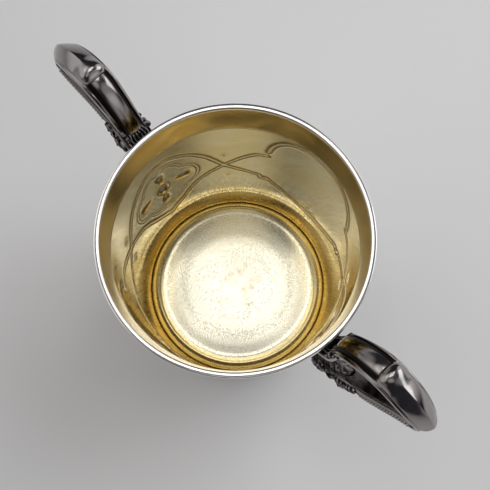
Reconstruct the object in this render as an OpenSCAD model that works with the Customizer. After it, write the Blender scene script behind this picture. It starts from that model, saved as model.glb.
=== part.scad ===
// Sugar bowl with a handle on each side, in plated silver, gilt inside.
// The frame stands on the table at z = 0, with the handles along X.

/* [Bowl] */
// Outer diameter over the rim wire
rim_d = 103; // [80:1:130]
// Height of the rim above the table
bowl_h = 100; // [80:1:130]
// Thickness of the bowl wall
wall = 1.4; // [1:0.1:2]
// Diameter of the wire round the lip
rim_wire_d = 2.2; // [1.8:0.1:3]
// How far the lip flares out from the neck
lip_flare = 2.3; // [0.5:0.1:6]
// Height of the flared lip above the neck
lip_h = 14.8; // [8:0.1:22]
// How much smaller the radius is at the floor than at the neck
wall_taper = 6.9; // [2:0.1:12]
// How far the wall bellies out from a straight taper
belly = 1.6; // [0:0.1:4]

/* [Bottom and foot] */
// Thickness of the let-in bottom plate
plate_t = 1.2; // [1:0.1:2]
// Radial width of the sloping border of the bottom plate
border_w = 5.5; // [3:0.1:10]
// How far the middle of the bottom plate is raised
floor_rise = 4.4; // [1:0.1:6]
// Height of the foot under the bottom plate
foot_h = 5.6; // [4:0.1:15]
// How far the foot spreads from top to table
foot_flare = 0.8; // [0.2:0.1:6]
// Diameter of the wire round the foot
foot_wire_d = 1.8; // [1.2:0.1:3]

/* [Handles] */
// How far the tip of a handle stands out from the rim
handle_reach = 45.2; // [36:0.2:60]
// How far the thumb rest stands above the rim
handle_rise = 26; // [18:0.2:36]
// How far below the rim the leg meets the wall
leg_drop = 34; // [26:0.5:48]
// Width of the arm under the thumb rest
arm_w = 11.6; // [8:0.1:16]
// Width of the arm where it leaves the wall
root_w = 10; // [8:0.1:14]
// Width of the arm over the wings beside the end of the strap
wing_w = 15.6; // [12:0.1:20]
// Thickness of the arm
arm_t = 2.6; // [1.8:0.1:4]
// Width of the leg between its bead rows
leg_w = 9.6; // [7:0.1:13]
// Thickness of the leg
leg_t = 4; // [3:0.1:6]
// Thickness of the half-round strap
strap_t = 2.2; // [1.5:0.1:4]
// Width of the half-round strap at its inner end
strap_w = 8.4; // [6:0.1:11]
// Thickness of the thumb rest at its ridge
rest_t = 3.6; // [2:0.1:5]
// How far the arm shows beside the strap and the thumb rest
ledge = 0.6; // [0.2:0.1:1.5]

/* [Ornament] */
// Distance between the middles of two beads
bead_pitch = 1.55; // [1.3:0.05:2.5]
// Gap left between two beads
bead_gap = 0.1; // [0.05:0.05:0.4]
// Number of flutes on the palmette and on the upper socket
flutes = 7; // [5:1:11]
// Thickness of the palmette
palmette_t = 1.4; // [0.8:0.1:2.4]
// Thickness of the side scrolls
scroll_t = 1.5; // [0.8:0.1:2.5]
// Outer diameter of the largest side scroll
scroll_d = 8.4; // [6:0.1:10]
// Thickness of the leaf on the leg
leaf_t = 1.6; // [1:0.1:3]

/* [Hidden] */
$fn = 96;
eps = 0.01;
// How far a cutting shape runs past what it cuts
past = 2;

silver = "silver";
gilt = "khaki";
dark_silver = "dimgray";

// ---- Curves ----

// Point at t on a cubic curve with control points p
function cubic(p, t) =
  pow(1 - t, 3) * p[0] + 3 * t * pow(1 - t, 2) * p[1] + 3 * t * t * (1 - t) * p[2] + pow(t, 3) * p[3];
// The curve as n + 1 points
function curve(p, n) = [for (i = [0:n]) cubic(p, i / n)];
function last(list) = list[len(list) - 1];
function reversed(list) = [for (i = [len(list) - 1:-1:0]) list[i]];
function without_first(list) = [for (i = [1:len(list) - 1]) list[i]];
function unit(v) = v / norm(v);
function smooth(t) = t * t * (3 - 2 * t);
// Direction of a path at its point i, and the direction a quarter turn to its left
function tangent(path, i) =
  unit(path[min(i + 1, len(path) - 1)] - path[max(i - 1, 0)]);
function left_of(v) = [-v[1], v[0]];
// The path moved sideways by d, to its left when d is positive
function shifted(path, d) = [for (i = [0:len(path) - 1]) path[i] + d * left_of(tangent(path, i))];
// Outline of a band between two sideways moves of a path
function band(path, low, high) = concat(shifted(path, high), reversed(shifted(path, low)));
// Part of a path between two shares of its points
function part_of(path, from, to) =
  [for (i = [round(from * (len(path) - 1)):round(to * (len(path) - 1))]) path[i]];

// ---- Bowl profile: radius of the inside at height z ----

rim_r = rim_d / 2;
lip_top = bowl_h - rim_wire_d / 2;
lip_r = rim_r - rim_wire_d / 2 - wall / 2;
neck_r = lip_r - lip_flare;
neck_z = bowl_h - lip_h;
floor_z = foot_h + plate_t;
floor_r = neck_r - wall_taper;

// Share of the lip's height that its flare follows: 1 is a plain cone
flare_power = 1.15;
function lip_radius(z) = neck_r + lip_flare * pow((z - neck_z) / (lip_top - neck_z), flare_power);
// Below 1, the belly is fullest under the middle of the wall
belly_power = 0.75;
function drum_radius(z) =
  let (u = (z - floor_z) / (neck_z - floor_z))
  floor_r + wall_taper * u + belly * sin(180 * pow(max(u, 0), belly_power));
function inside_radius(z) = z > neck_z ? lip_radius(z) : drum_radius(max(z, floor_z));
function outside_radius(z) = inside_radius(z) + wall;

drum_steps = 28;
lip_steps = 8;
function inside_line() = concat(
  [for (i = [0:drum_steps]) let (z = floor_z + (neck_z - floor_z) * i / drum_steps) [drum_radius(z), z]],
  [for (i = [1:lip_steps]) let (z = neck_z + (lip_top - neck_z) * i / lip_steps) [lip_radius(z), z]]
);
function wall_outline() = concat(
  [[floor_r, foot_h]],
  inside_line(),
  [for (p = reversed(inside_line())) p + [wall, 0]],
  [[floor_r + wall, foot_h]]
);

// The whole bowl filled in, which pieces soldered to its outside are cut back to
module bowl_solid() {
  rotate_extrude($fn = 180)
    polygon(concat(
      [[0, foot_h], [floor_r + wall, foot_h]],
      [for (p = inside_line()) p + [wall, 0]],
      [[0, lip_top]]
    ));
}

module rim_wire_section() {
  translate([rim_r - rim_wire_d / 2, lip_top]) circle(d = rim_wire_d, $fn = 32);
}

module bowl_body() {
  color(silver) rotate_extrude($fn = 180) polygon(wall_outline());
}

module rim_wire() {
  color(silver) rotate_extrude($fn = 180) difference() {
    rim_wire_section();
    polygon(wall_outline());
  }
}

// ---- Bottom plate and foot ----

// The border falls gently from the raised middle, then steeply into the corner at the wall
border_steps = 14;
border_power = 2.2;
function border_line() = [for (i = [0:border_steps])
  let (t = i / border_steps, rise = 1 - pow(1 - t, border_power))
  [floor_r - border_w * t, floor_z + floor_rise * rise]];

module bottom_plate() {
  top = border_line();
  color(gilt) rotate_extrude($fn = 180) polygon(concat(
    top,
    [[0, last(top)[1]], [0, last(top)[1] - plate_t]],
    [for (p = reversed(top)) p - [0, plate_t]]
  ));
}

foot_t = wall;
foot_top_r = floor_r + wall;
foot_r = foot_top_r + foot_flare;
foot_wire_z = foot_wire_d / 2;
function foot_line() = curve([
  [foot_top_r, foot_h], [foot_top_r, foot_h * 0.55],
  [foot_r - foot_flare * 0.4, foot_h * 0.25], [foot_r, 0]
], 8);

module foot_wire_section() {
  translate([foot_r, foot_wire_z]) circle(d = foot_wire_d, $fn = 32);
}

module foot_ring() {
  outer = foot_line();
  color(silver) rotate_extrude($fn = 180) polygon(concat(
    outer,
    [for (p = reversed(outer)) p - [foot_t, 0]]
  ));
}

module foot_wire() {
  color(silver) rotate_extrude($fn = 180) difference() {
    foot_wire_section();
    polygon(concat(foot_line(), [for (p = reversed(foot_line())) p - [foot_t, 0]]));
  }
}

// ---- Handle paths, in the plane y = 0, as distance out from the rim and height over the rim ----

// How far down the lip the arm leaves the wall
root_share = 0.72;
root_z = -lip_h * root_share;
root_x = outside_radius(bowl_h + root_z) - rim_r;
// Upper face of the arm, from the wall under the lip, up to the shoulder and down to the tip.
// The thumb rest lies on it, inside the handle's full reach and rise by a small margin.
crown_margin = 0.4;
shoulder_share = 0.39;
tip_share = 0.37;
shoulder = [handle_reach * shoulder_share, handle_rise - rest_t - crown_margin];
tip = [handle_reach - rest_t - crown_margin, handle_rise * tip_share];
arm_start = [3.4, 2.4];
root_path = curve([
  [root_x, root_z], [root_x + 5, root_z + 0.2], arm_start + [0, -5.4], arm_start
], 12);
rise_path = curve([
  arm_start, arm_start + [0, 4.4],
  shoulder - [handle_reach * 0.15, handle_rise * 0.1], shoulder
], 18);
crown_path = curve([
  shoulder, shoulder + [handle_reach * 0.16, handle_rise * 0.1],
  tip + [-handle_reach * 0.07, handle_rise * 0.36], tip
], 22);
arm_path = concat(root_path, without_first(rise_path), without_first(crown_path));

// Middle of the leg, from the tip back and down to the wall
leg_root_x = outside_radius(bowl_h - leg_drop) - rim_r;
leg_start = tip + [-leg_t * 0.62, 0.8];
// The knee, where the straight of the leg turns in toward the wall
knee_out = 0.44;
knee_down = 0.34;
leg_knee = [handle_reach * knee_out, -leg_drop * knee_down];
leg_dir = unit(leg_start - leg_knee);
leg_straight = curve([
  leg_start, leg_start + (leg_knee - leg_start) / 3, leg_start + (leg_knee - leg_start) * 2 / 3, leg_knee
], 6);
leg_bend = curve([
  leg_knee, leg_knee - leg_dir * leg_drop * 0.32,
  [leg_root_x + leg_drop * 0.3, -leg_drop + 3.4], [leg_root_x - 1, -leg_drop]
], 14);
leg_path = concat(leg_straight, without_first(leg_bend));

// Half the width of the arm at a distance x out from the rim: wings at the root, then a long leaf
mid_x = handle_reach * 0.56;
neck_x = handle_reach * 0.3;
nose_power = 2.6;
neck_share = 0.92;
function root_half_width(t) =
  (root_w + (arm_w * neck_share - root_w) * smooth(t) + (wing_w - root_w) * sin(180 * pow(t, 0.8))) / 2;
function half_width(x) =
  x < neck_x
    ? root_half_width(max(x, 0) / neck_x)
    : x < mid_x
      ? arm_w / 2 * (neck_share + (1 - neck_share) * smooth((x - neck_x) / (mid_x - neck_x)))
      : arm_w / 2 * sqrt(1 - pow(min((x - mid_x) / (handle_reach + past - mid_x), 1), nose_power));
// Half the width of the strap and of the thumb rest
function cover_half_width(x) =
  min(half_width(x) - ledge, strap_w / 2 + (arm_w - strap_w) / 2 * smooth(min(max(x, 0) / neck_x, 1)));

// Draws its children upright in the plane of a handle, with the rim's edge at the origin
module in_handle_plane() {
  translate([rim_r, 0, bowl_h]) rotate([90, 0, 0]) children();
}
// A flat outline in that plane, given a width centred on it
module slab(outline, width) {
  in_handle_plane() translate([0, 0, -width / 2]) linear_extrude(width) polygon(outline);
}
// Draws its children on one side or the other of the bowl
module on_side(side) {
  if (side > 0) children();
  else mirror([1, 0, 0]) children();
}
// Draws its children on the front (-Y) or the back (+Y) of a handle; they are drawn for the back
module on_face(face) {
  if (face > 0) mirror([0, 1, 0]) children();
  else children();
}

// The plan of the arm: a long leaf with a rounded outer end
plan_steps = 24;
module arm_plan() {
  first = root_x - past;
  xs = [for (i = [0:plan_steps]) first + (handle_reach + past - first) * sin(90 * i / plan_steps)];
  translate([rim_r, 0, 0]) linear_extrude(bowl_h + handle_rise + past) polygon(concat(
    [for (x = xs) [x, half_width(x)]],
    [for (x = reversed(xs)) [x, -half_width(x)]]
  ));
}

module arm_body() {
  difference() {
    intersection() {
      slab(band(arm_path, -arm_t, 0), wing_w + past);
      arm_plan();
    }
    bowl_solid();
  }
}

module handle_arm(side) { color(dark_silver) on_side(side) arm_body(); }

module handle_leg(side) {
  color(dark_silver) on_side(side) difference() {
    slab(band(leg_path, -leg_t / 2, leg_t / 2), leg_w);
    slab(band(arm_path, -arm_t, rest_t), leg_w + past);
    bowl_solid();
  }
}

// ---- Swept covers of the arm ----

// Mean of some points: each coordinate's list times a list of ones is that coordinate's sum
function mean(points) =
  let (ones = [for (p = points) 1])
  [for (k = [0:2]) [for (p = points) p[k]] * ones] / len(points);

// A closed skin through rings of points, each ring with the same number of points.
// Each end is closed by a fan of triangles round its middle.
module skin(rings) {
  m = len(rings[0]);
  n = len(rings);
  points = concat([for (ring = rings) each ring], [mean(rings[0]), mean(last(rings))]);
  sides = [for (i = [0:n - 2], j = [0:m - 1])
    [i * m + j, i * m + (j + 1) % m, (i + 1) * m + (j + 1) % m, (i + 1) * m + j]];
  polyhedron(
    points = points,
    faces = concat(
      sides,
      [for (j = [0:m - 1]) [n * m, (j + 1) % m, j]],
      [for (j = [0:m - 1]) [n * m + 1, (n - 1) * m + j, (n - 1) * m + (j + 1) % m]]
    ),
    convexity = 6
  );
}

// Cross-section over the arm at point i of a path: base on the path, crown raised by h.
// The power gives its form: 2 is half-round, 1.2 is nearly a ridge with two flat sides.
section_n = 14;
function cover_ring(path, i, w, h, power) =
  let (p = path[i], up = left_of(tangent(path, i)))
  [for (j = [0:section_n])
    let (
      a = 180 * j / section_n,
      y = w * cos(a),
      k = h * pow(1 - pow(abs(cos(a)), power), 1 / power)
    )
    [rim_r + p[0] + up[0] * k, y, bowl_h + p[1] + up[1] * k]];

// Rises and falls at the two ends of a cover, as shares of its length
function end_share(t, nose) = sqrt(max(1 - pow(1 - min(t / nose, 1), 2), 0.0016));

module cover(path, thickness, nose, tail, power) {
  n = len(path) - 1;
  skin([for (i = [0:n])
    let (
      t = i / n,
      e = min(end_share(t, nose), end_share(1 - t, tail)),
      w = cover_half_width(path[i][0]) * (0.35 + 0.65 * e)
    )
    cover_ring(path, i, w, thickness * e, power)]);
}

strap_path = concat(rise_path, [crown_path[1], crown_path[2]]);
module thumb_rest_body() { cover(crown_path, rest_t, 0.2, 0.12, 1.5); }

module strap(side) {
  color(silver) on_side(side) difference() {
    cover(strap_path, strap_t, 0.22, 0.04, 2);
    slab(concat(crown_path, reversed(shifted(crown_path, rest_t * 2))), arm_w + past);
  }
}

module thumb_rest(side) { color(silver) on_side(side) thumb_rest_body(); }

// ---- Sockets at the wall ----

// A fluted palmette covers the root of the arm, from the wall to the end of the strap
palmette_path = part_of(root_path, 0.16, 0.84);
palmette_w = strap_w * 0.94;
// Depth of a flute, as a share of the height of its ribs
flute_depth = 0.28;
function flute_height(y, w) = 1 - flute_depth + flute_depth * abs(cos(180 * flutes * (y / w / 2 + 0.5)));
function flat_ring(path, i, w, h) =
  let (p = path[i], up = left_of(tangent(path, i)), m = flutes * 4)
  concat(
    [for (j = [0:m]) let (y = w - 2 * w * j / m, k = h * flute_height(y, w))
      [rim_r + p[0] + up[0] * k, y, bowl_h + p[1] + up[1] * k]],
    [[rim_r + p[0], -w, bowl_h + p[1]], [rim_r + p[0], w, bowl_h + p[1]]]
  );

module palmette(side) {
  n = len(palmette_path) - 1;
  color(dark_silver) on_side(side) skin([for (i = [0:n])
    let (t = i / n) flat_ring(palmette_path, i, palmette_w / 2 * (0.8 + 0.2 * sin(180 * t)), palmette_t)]);
}

upper_socket_w = strap_w + 1.6;
upper_socket_h = lip_h * 0.55;
upper_socket_out = 2.2;
upper_socket_back = 6;

module upper_socket(side) {
  pitch = upper_socket_w / flutes;
  color(dark_silver) on_side(side) difference() {
    for (i = [0:flutes - 1]) {
      y = (i - (flutes - 1) / 2) * pitch;
      drop = upper_socket_h * 0.3 * pow(2 * y / upper_socket_w, 2);
      translate([rim_r + root_x + upper_socket_out - pitch / 2, y, bowl_h + root_z - upper_socket_h + drop]) {
        cylinder(d = pitch + eps, h = upper_socket_h - drop, $fn = 24);
        translate([-upper_socket_back, -(pitch + eps) / 2, 0])
          cube([upper_socket_back, pitch + eps, upper_socket_h - drop]);
      }
    }
    bowl_solid();
    slab(band(arm_path, -arm_t, strap_t), wing_w + past);
  }
}

socket_side = 1.2;
socket_above = 3.25;
lower_socket_w = leg_w + 2 * socket_side;
lower_socket_h = leg_t + 2 * socket_above;
lower_socket_out = 1.6;
socket_inset = 3;

module lower_socket_body() {
  difference() {
    translate([rim_r + leg_root_x - socket_inset, 0, bowl_h - leg_drop])
      resized_boss(socket_inset + lower_socket_out);
    bowl_solid();
    slab(band(leg_path, -leg_t / 2, leg_t / 2), leg_w);
  }
}
// A round-cornered boss lying along X, taller or wider as its two sizes say
module resized_boss(length) {
  corner = min(lower_socket_w, lower_socket_h) * 0.35;
  dy = lower_socket_w / 2 - corner;
  dz = lower_socket_h / 2 - corner;
  rotate([0, 90, 0]) linear_extrude(length) union() {
    square([2 * dz, lower_socket_w], center = true);
    square([lower_socket_h, 2 * dy], center = true);
    for (sy = [-1, 1], sz = [-1, 1]) translate([sz * dz, sy * dy]) circle(r = corner, $fn = 32);
  }
}
module lower_socket(side) { color(dark_silver) on_side(side) lower_socket_body(); }

// ---- Ornament on the leg ----

// A leaf lies on the upper face of the leg, spreading toward the wall
leaf_path = reversed(shifted(part_of(leg_bend, 0.1, 0.8), -leg_t / 2));
leaf_w = leg_w / 2 - ledge;
leaf_lobes = 4;
lobe_depth = 0.16;

module leaf(side) {
  n = len(leaf_path) - 1;
  color(silver) on_side(side) skin([for (i = [0:n])
    let (
      t = i / n,
      lobe = 1 - lobe_depth + lobe_depth * abs(cos(180 * leaf_lobes * t)),
      e = sqrt(1 - pow(0.96 * t, 3))
    )
    cover_ring(leaf_path, i, leaf_w * lobe * e, leaf_t * e, 1.3)]);
}

// Beads stand on both side faces of the straight of the leg
bead_d = bead_pitch - bead_gap;
bead_run = norm(leg_knee - leg_start);
bead_first = leg_t * 0.9;
bead_count = floor((bead_run - bead_first) / bead_pitch);

module beads(side, face) {
  color(silver) on_side(side) on_face(face) in_handle_plane()
    for (i = [0:bead_count - 1]) {
      p = leg_start - leg_dir * (bead_first + i * bead_pitch);
      translate([p[0], p[1], -leg_w / 2]) intersection() {
        sphere(d = bead_d, $fn = 24);
        translate([-bead_d, -bead_d, -bead_d]) cube([2 * bead_d, 2 * bead_d, bead_d]);
      }
    }
}

// One volute: a ring round a hub, with a tongue that joins them on the side that faces a
scroll_band = 1.5;
module volute(d, a) {
  difference() {
    circle(d = d, $fn = 48);
    circle(d = d - 2 * scroll_band, $fn = 48);
  }
  circle(d = scroll_band * 1.5, $fn = 32);
  rotate(a) translate([0, -scroll_band * 0.35]) square([d / 2 - scroll_band * 0.5, scroll_band * 0.7]);
}

// Openwork scrolls on a side face of the bend of the leg: place along the bend, size, hand
scroll_list = [[0.16, 0.66, 1], [0.42, 0.86, -1], [0.7, 1, 1]];
module scrolls(side, face) {
  color(dark_silver) on_side(side) on_face(face) difference() {
    in_handle_plane() translate([0, 0, -leg_w / 2 - scroll_t]) linear_extrude(scroll_t) {
      for (s = scroll_list) {
        i = round(s[0] * (len(leg_bend) - 1));
        translate(leg_bend[i] - left_of(tangent(leg_bend, i)) * s[2] * 0.8)
          volute(scroll_d * s[1], 200 + 90 * s[2]);
      }
    }
    bowl_solid();
    lower_socket_body();
  }
}

bowl_body();
rim_wire();
bottom_plate();
foot_ring();
foot_wire();
handle_arm(1);  // right_handle_arm
handle_leg(1);  // right_handle_leg
strap(1);  // right_strap
thumb_rest(1);  // right_thumb_rest
palmette(1);  // right_palmette
upper_socket(1);  // right_upper_socket
lower_socket(1);  // right_lower_socket
leaf(1);  // right_leaf
beads(1, 1);  // right_front_beads
beads(1, -1);  // right_back_beads
scrolls(1, 1);  // right_front_scrolls
scrolls(1, -1);  // right_back_scrolls
handle_arm(-1);  // left_handle_arm
handle_leg(-1);  // left_handle_leg
strap(-1);  // left_strap
thumb_rest(-1);  // left_thumb_rest
palmette(-1);  // left_palmette
upper_socket(-1);  // left_upper_socket
lower_socket(-1);  // left_lower_socket
leaf(-1);  // left_leaf
beads(-1, 1);  // left_front_beads
beads(-1, -1);  // left_back_beads
scrolls(-1, 1);  // left_front_scrolls
scrolls(-1, -1);  // left_back_scrolls
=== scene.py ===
"""Two-handled sugar bowl in plated silver, gilt inside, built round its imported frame.

Every shape is a surface of two parameters, worked out with numpy in metres, in the frame's own axes:
the table is z = 0 and the handles lie along X. Handle shapes are drawn in the handle's own plane, as
distance out from the rim's edge and height over the rim, and are then put on either side of the bowl.
"""

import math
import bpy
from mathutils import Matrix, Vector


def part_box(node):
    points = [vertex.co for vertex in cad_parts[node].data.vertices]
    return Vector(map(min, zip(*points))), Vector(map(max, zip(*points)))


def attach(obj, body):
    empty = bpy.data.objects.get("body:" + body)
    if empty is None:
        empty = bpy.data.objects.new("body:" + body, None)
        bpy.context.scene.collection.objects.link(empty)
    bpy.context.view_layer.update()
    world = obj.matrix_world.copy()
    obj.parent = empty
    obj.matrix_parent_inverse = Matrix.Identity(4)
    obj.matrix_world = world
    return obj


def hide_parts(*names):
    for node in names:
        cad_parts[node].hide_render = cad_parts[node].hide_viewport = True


bl_info = {
    "name": "Silver Sugar Bowl",
    "version": (1, 0, 0),
    "blender": (4, 5, 0),
    "location": "View3D > Sidebar > Sugar Bowl",
    "description": "Builds a gilt-lined silver sugar bowl with chased walls and cast handles",
    "category": "Object",
}

import bpy
import numpy as np
from bpy.props import FloatProperty, FloatVectorProperty, IntProperty, PointerProperty
from mathutils import Vector

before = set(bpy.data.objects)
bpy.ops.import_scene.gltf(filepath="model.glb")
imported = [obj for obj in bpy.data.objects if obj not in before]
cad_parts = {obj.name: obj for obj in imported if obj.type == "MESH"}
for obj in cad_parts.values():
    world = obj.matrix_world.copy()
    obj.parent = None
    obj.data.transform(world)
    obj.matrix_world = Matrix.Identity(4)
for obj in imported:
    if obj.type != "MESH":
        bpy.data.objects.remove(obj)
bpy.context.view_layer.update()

mm = 0.001
BODY = "root"
SIDES = {"right": 1, "left": -1}
FACES = {"front": -1, "back": 1}

# Measures that come from the frame
RIM_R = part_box("rim_wire")[1].x
BOWL_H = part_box("rim_wire")[1].z
FLOOR_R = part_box("bottom_plate")[1].x
PLATE_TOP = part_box("bottom_plate")[1].z
WALL_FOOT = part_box("bowl_body")[0].z
FOOT_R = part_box("foot_ring")[1].x

# How far the handles reach past the rim's edge and rise over the rim
HANDLE_REACH = 45.2 * mm
HANDLE_RISE = 26 * mm

# How finely the round pieces are divided
WALL_RINGS = 720
WALL_ROWS = 110
RIM_RINGS = 480
BOTTOM_RINGS = 360
FOOT_RINGS = 360
FOOT_WIRE_RINGS = 960


# ---- Sizes, finishes and stage: what a maker would change ----


def length(name, description, default, low=0.0, high=0.2):
    """A size in metres."""
    return FloatProperty(
        name=name, description=description, default=default, min=low, max=high, unit="LENGTH", precision=5
    )


def share(name, description, default, low=0.0, high=1.0):
    """A plain number between two limits."""
    return FloatProperty(name=name, description=description, default=default, min=low, max=high)


def colour(name, description, default):
    """A colour in linear light."""
    return FloatVectorProperty(
        name=name, description=description, default=default, size=3, subtype="COLOR", min=0, max=1
    )


class BowlSizes(bpy.types.PropertyGroup):
    """Sizes of the bowl, its bottom plate and its foot."""

    wall: length("Wall", "Thickness of the bowl wall", 1.4 * mm)
    rim_wire: length("Rim wire", "Diameter of the wire round the lip", 2.2 * mm)
    lip_flare: length("Lip flare", "How far the lip flares out from the neck", 2.3 * mm)
    lip_height: length("Lip height", "Height of the flared lip above the neck", 14.8 * mm)
    taper: length("Taper", "How much smaller the radius is at the floor than at the neck", 6.9 * mm)
    belly: length("Belly", "How far the wall bellies out from a straight taper", 1.6 * mm)
    plate: length("Plate", "Thickness of the bottom plate", 1.2 * mm)
    plate_rise: length("Plate rise", "How far the middle of the bottom plate is raised", 4.4 * mm)
    plate_dome: length("Plate dome", "How far the middle of the plate swells", 1.1 * mm)
    plate_border: length("Plate border", "Radial width of the sloping border of the plate", 5.5 * mm)
    foot_wire: length("Foot wire", "Diameter of the wire round the foot", 1.8 * mm)
    chase_depth: length("Chasing depth", "How far the chased lines are struck into the wall", 0.17 * mm)
    chase_width: length("Chasing width", "Half-width of one chased line", 0.38 * mm)
    strap_width: length("Strapwork width", "Distance between the outer lines of a chased strap", 2.5 * mm)
    waviness: length("Waviness", "How far the hand-hammered wall strays from a true round", 0.10 * mm)


class HandleSizes(bpy.types.PropertyGroup):
    """Sizes of one handle, the same on both sides."""

    leg_drop: length("Leg drop", "How far below the rim the leg meets the wall", 34 * mm)
    arm_width: length("Arm width", "Width of the arm under the thumb rest", 11.6 * mm)
    root_width: length("Root width", "Width of the arm where it leaves the wall", 10 * mm)
    set_aside: length("Set aside", "How far the hand-set leg stands to one side of its arm", 1.9 * mm)
    arm: length("Arm", "Thickness of the arm", 2.6 * mm)
    leg_width: length("Leg width", "Width of the leg", 9.6 * mm)
    leg: length("Leg", "Thickness of the leg", 4 * mm)
    strap: length("Strap", "Thickness of the half-round strap", 2.2 * mm)
    strap_width: length("Strap width", "Width of the strap at its inner end", 8.4 * mm)
    rest: length("Thumb rest", "Thickness of the thumb rest at its ridge", 3.6 * mm)
    ledge: length("Ledge", "How far the arm shows beside the strap", 0.6 * mm)
    bead_pitch: length("Bead pitch", "Distance between the middles of two beads", 1.48 * mm)
    scroll: length("Scroll", "Outer diameter of the largest side scroll", 8.4 * mm)
    leaf: length("Leaf", "Thickness of the leaf on the leg", 1.6 * mm)
    flutes: IntProperty(
        name="Flutes", description="Number of flutes on the palmette", default=7, min=5, max=11
    )


class Finishes(bpy.types.PropertyGroup):
    """Colours and polish of the metals."""

    silver: colour("Silver", "Colour of the bright plate", (0.86, 0.84, 0.82))
    handle_silver: colour("Handle silver", "Colour of the worn cast handles", (0.36, 0.34, 0.335))
    # Also the colour of the painted shade on the handles.
    tarnish: colour("Tarnish", "Colour of the blackened hollows", (0.018, 0.014, 0.012))
    gilt: colour("Gilding", "Colour of the gilt wall", (0.82, 0.675, 0.35))
    pale_gilt: colour("Worn gilding", "Colour of the rubbed gilding on the bottom", (0.90, 0.87, 0.72))
    # Colour of the painted dark reflection on the flared lip.
    brown_gilt: colour(
        "Brown gilding", "Colour of the darkened gilding on the flared lip", (0.42, 0.29, 0.10)
    )
    stain: colour("Stain", "Colour of old sugar stains in the gilding", (0.42, 0.27, 0.10))
    wall_polish: share("Wall roughness", "Roughness of the gilt wall", 0.09)
    floor_polish: share("Bottom roughness", "Roughness of the rubbed bottom", 0.26)
    silver_polish: share("Silver roughness", "Roughness of the bright plate", 0.14)
    handle_polish: share("Handle roughness", "Roughness of the cast handles", 0.13)


class StageSizes(bpy.types.PropertyGroup):
    """Camera, table and light."""

    turn: FloatProperty(
        name="Turn", description="How far the camera stands round the bowl",
        default=math.radians(46.3), subtype="ANGLE",
    )
    lift: FloatProperty(
        name="Lift", description="Height of the camera over the horizon",
        default=math.radians(76.1), subtype="ANGLE",
    )
    distance: length("Distance", "From the camera to the rim's plane", 288.7 * mm, 0.1, 2.0)
    aside: length("Aside", "Where the camera looks, out along the right handle", 5.2 * mm)
    lens: FloatProperty(name="Lens", description="Focal length in millimetres", default=58.8, min=20, max=200)
    table_shade: colour("Table", "Colour of the table", (0.80, 0.80, 0.805))


def sizes():
    scene = bpy.context.scene
    return scene.sugar_bowl, scene.sugar_handle, scene.sugar_finish, scene.sugar_stage


# ---- Curves and skins ----


def smooth(t):
    """Rises from 0 to 1 with no slope at either end: three t squared less two t cubed."""
    t = np.clip(t, 0, 1)
    return t * t * (3 - 2 * t)


def cubic(points, n):
    """n + 1 points on a cubic curve, each control point weighted by its share of the four Bernstein terms."""
    t = np.linspace(0, 1, n + 1)[:, None]
    p = np.asarray(points, float)
    return (1 - t) ** 3 * p[0] + 3 * t * (1 - t) ** 2 * p[1] + 3 * t * t * (1 - t) * p[2] + t**3 * p[3]


def along(path):
    """Length of a path up to each of its points."""
    return np.concatenate([[0], np.cumsum(np.linalg.norm(np.diff(path, axis=0), axis=1))])


def even(path, n):
    """The same path with n + 1 points at even distances."""
    s = along(path)
    at = np.linspace(0, s[-1], n + 1)
    return np.stack([np.interp(at, s, path[:, k]) for k in range(path.shape[1])], 1)


def rounded(points, n):
    """A smooth path through the given points: a Catmull-Rom spline, n points to each span."""
    p = np.asarray(points, float)
    p = np.vstack([2 * p[0] - p[1], p, 2 * p[-1] - p[-2]])
    t = np.linspace(0, 1, n, endpoint=False)[:, None]
    spans = [
        0.5 * (2 * b + (c - a) * t + (2 * a - 5 * b + 4 * c - d) * t**2 + (3 * b - a - 3 * c + d) * t**3)
        for a, b, c, d in zip(p[:-3], p[1:-2], p[2:-1], p[3:])
    ]
    return np.vstack(spans + [p[-2:-1]])


def normals_2d(path):
    """Direction a quarter turn to the left of a flat path, at each of its points."""
    t = np.gradient(path, axis=0)
    t /= np.linalg.norm(t, axis=1, keepdims=True)
    return np.stack([-t[:, 1], t[:, 0]], 1)


def grid_quads(n, m, closed):
    """Quads between n rings of m points each; with closed, the last ring joins the first."""
    i = np.arange(n if closed else n - 1)[:, None] * m
    j = np.arange(m)[None, :]
    k = (i + m) % (n * m)
    nxt = (j + 1) % m
    return np.stack([i + j, i + nxt, k + nxt, k + j], -1).reshape(-1, 4)


def skin(rings, closed=False):
    """Points and faces of a skin over rings of points. The ends are closed by fans to their middles,
    or the last ring is joined to the first."""
    n, m = rings.shape[:2]
    points = rings.reshape(-1, 3)
    quads = grid_quads(n, m, closed)
    fans = np.empty((0, 3), int)
    if not closed:
        j = np.arange(m)
        nxt = (j + 1) % m
        first, last = n * m, n * m + 1
        points = np.vstack([points, rings[0].mean(0), rings[-1].mean(0)])
        fans = np.vstack([
            np.stack([np.full(m, first), nxt, j], 1),
            np.stack([np.full(m, last), (n - 1) * m + j, (n - 1) * m + nxt], 1),
        ])
    return outward(points, quads, fans)


def outward(points, quads, fans):
    """Turns every face round if the closed skin holds a negative volume."""
    a, b, c, d = (points[quads[:, k]] for k in range(4))
    volume = np.einsum("ij,ij->", a, np.cross(b, c)) + np.einsum("ij,ij->", a, np.cross(c, d))
    if len(fans):
        a, b, c = (points[fans[:, k]] for k in range(3))
        volume += np.einsum("ij,ij->", a, np.cross(b, c))
    if volume < 0:
        quads, fans = quads[:, ::-1], fans[:, ::-1]
    return points, quads, fans


def joined(parts):
    """Several skins as one."""
    points, quads, fans, start = [], [], [], 0
    for p, q, f in parts:
        points.append(p)
        quads.append(q + start)
        fans.append(f + start)
        start += len(p)
    return np.vstack(points), np.vstack(quads), np.vstack(fans)


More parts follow.
